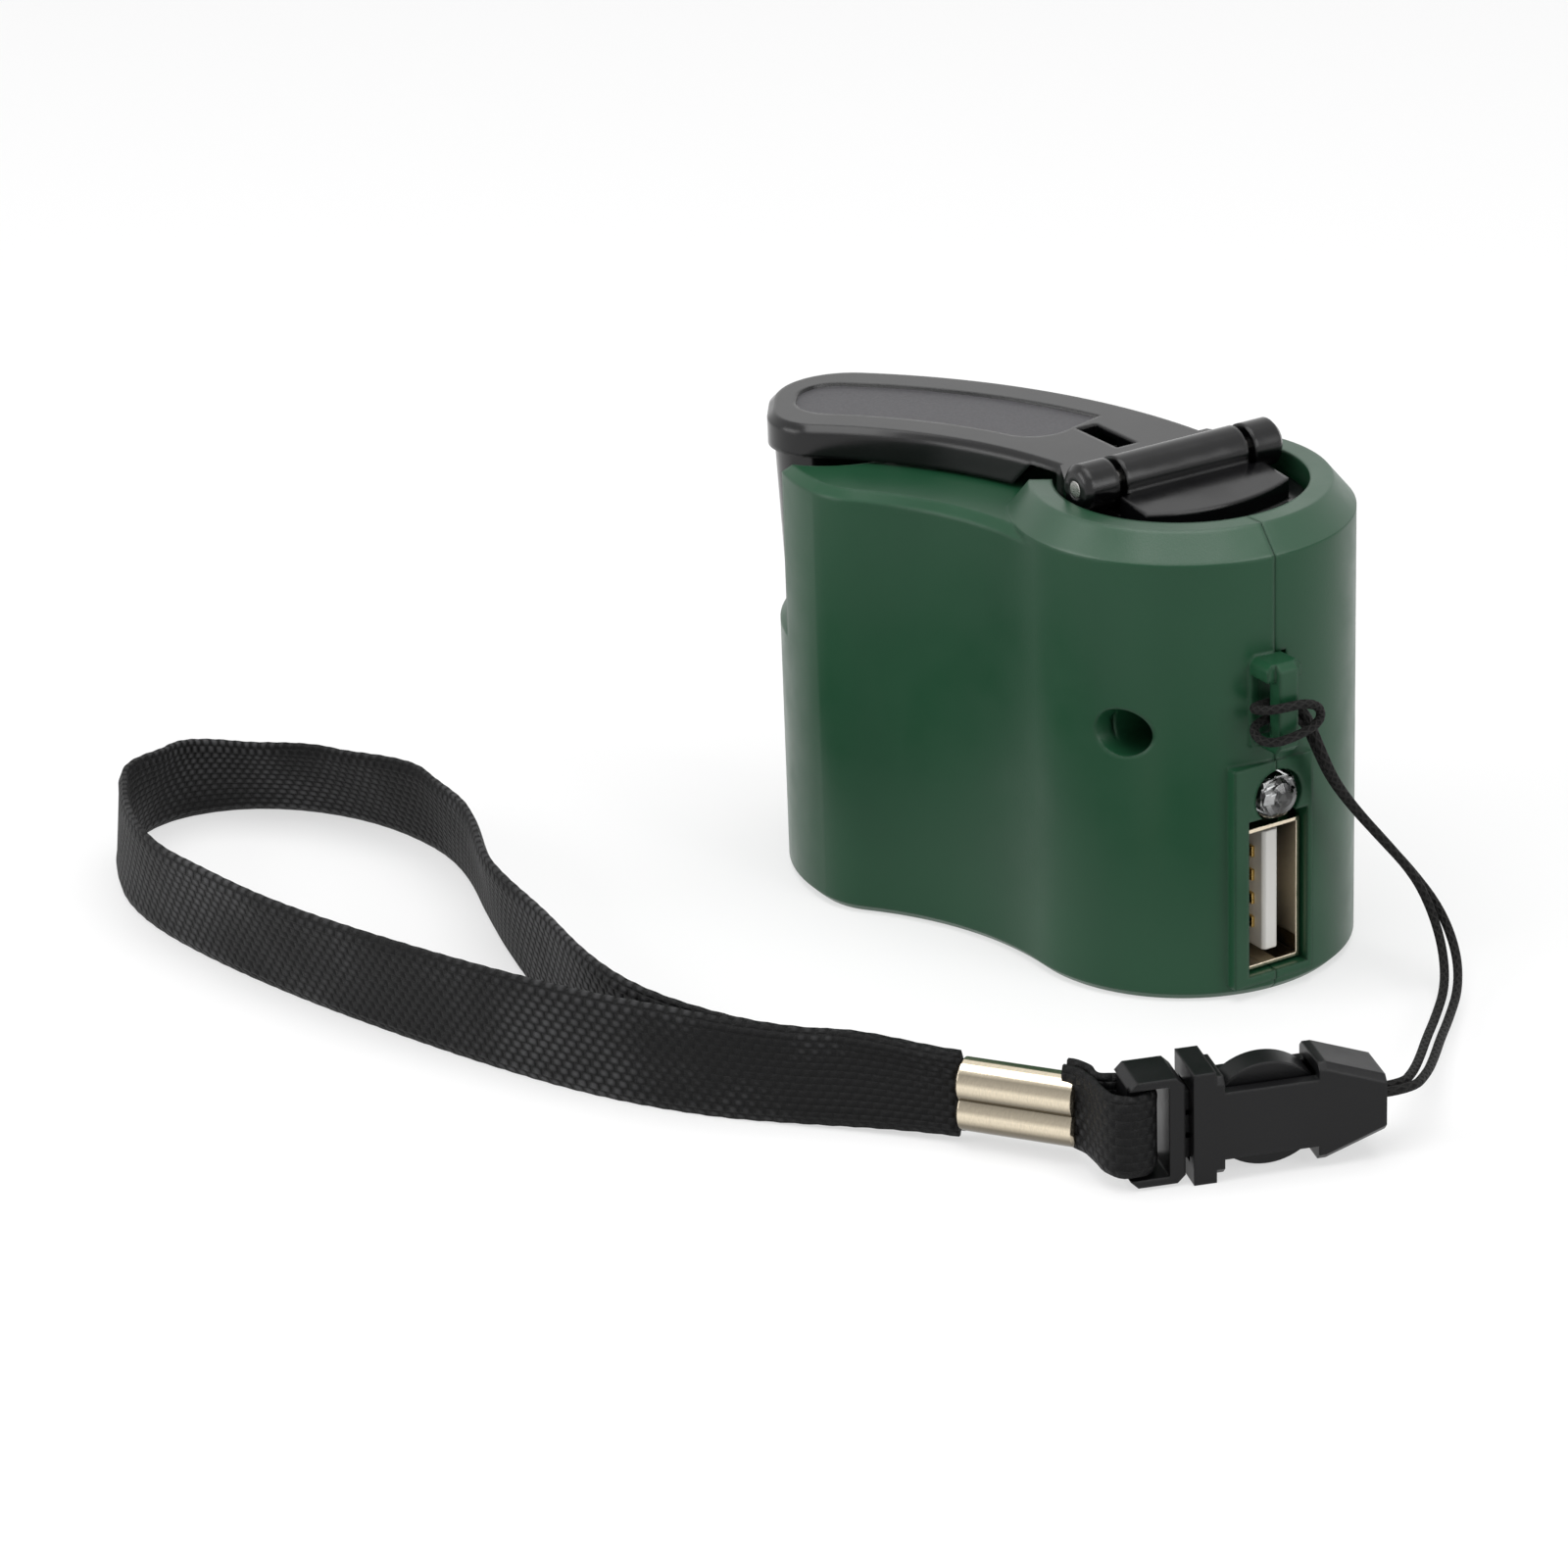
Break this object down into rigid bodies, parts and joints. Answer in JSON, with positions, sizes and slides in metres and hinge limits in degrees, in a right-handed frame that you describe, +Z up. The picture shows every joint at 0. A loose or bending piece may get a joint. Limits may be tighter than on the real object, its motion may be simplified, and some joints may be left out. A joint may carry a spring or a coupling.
{
  "type": "hand crank phone charger",
  "caption": "Pocket hand generator: bean-shaped case with a folding crank and grip knob, geared generator, USB socket, indicator lamp, and a wrist lanyard on a small clip buckle.",
  "frame": {"origin": "on the ground under the crank's axis, at the middle of the case's flat base", "axes": "+Z up along the crank's axis, +X towards the USB socket, -Y towards the side with the screw and the waist"},
  "size_m": [0.1192, 0.0893, 0.0454],
  "materials": {
    "case_green": "satin moulded plastic, dark green",
    "crank_black": "gloss moulded plastic, black",
    "steel": "bright steel",
    "dark_steel": "black oxide",
    "nickel": "nickel-plated",
    "can_steel": "drawn and plated",
    "gear_nylon": "moulded, natural",
    "copper": "enamelled winding",
    "magnet": "sintered",
    "brass": "turned",
    "tongue_white": "moulded, white",
    "contact_gold": "plated",
    "lamp_clear": "clear epoxy",
    "board_green": "glass-fibre laminate",
    "chip_black": "moulded",
    "string_black": "braided cord",
    "webbing_black": "woven webbing",
    "buckle_black": "moulded plastic"
  },
  "bodies": {
    "housing": {"shell_near": "case_green", "shell_far": "case_green", "case_screw": "dark_steel", "idler_axle": "steel", "gear_plate": "gear_nylon", "generator_can": "can_steel", "generator_cap": "gear_nylon", "generator_coil": "copper", "usb_shell": "nickel", "usb_tongue": "tongue_white", "usb_contacts": "contact_gold", "lamp": "lamp_clear", "circuit_board": "board_green", "regulator_chip": "chip_black", "capacitor": "can_steel", "lanyard_string": "string_black", "wrist_strap": "webbing_black", "strap_tab": "webbing_black", "crimp": "nickel", "buckle_socket": "buckle_black", "buckle_plug": "buckle_black"},
    "crank_hub": {"hub": "crank_black", "drive_gear": "gear_nylon", "hub_screw": "steel"},
    "crank_arm": {"crank_arm": "crank_black", "hinge_pin": "steel", "knob_rivet": "steel"},
    "crank_knob": {"knob": "crank_black"},
    "idler": {"idler_gear": "gear_nylon"},
    "rotor": {"rotor_magnet": "magnet", "rotor_shaft": "steel", "rotor_pinion": "brass"}
  },
  "joints": [
    {"name": "hub_spin", "type": "hinge", "parent": "housing", "child": "crank_hub", "pos_m": [0, 0, 0.0387], "axis": [0, 0, 1], "continuous": true},
    {"name": "arm_fold", "type": "hinge", "parent": "crank_hub", "child": "crank_arm", "pos_m": [-0.00096, 0, 0.0433], "axis": [0, 1, 0], "range_deg": [0, 180]},
    {"name": "knob_spin", "type": "hinge", "parent": "crank_arm", "child": "crank_knob", "pos_m": [-0.03368, -0.01407, 0.0256], "axis": [0, 0, 1], "continuous": true},
    {"name": "idler_spin", "type": "hinge", "parent": "housing", "child": "idler", "pos_m": [-0.01275, -0.00342, 0.0276], "axis": [0, 0, 1], "continuous": true},
    {"name": "rotor_spin", "type": "hinge", "parent": "housing", "child": "rotor", "pos_m": [-0.02311, -0.00648, 0.0276], "axis": [0, 0, 1], "continuous": true}
  ],
  "couplings": [
    {"joint": "idler_spin", "follows": "hub_spin", "ratio": -5.6},
    {"joint": "rotor_spin", "follows": "hub_spin", "ratio": 24.64}
  ]
}
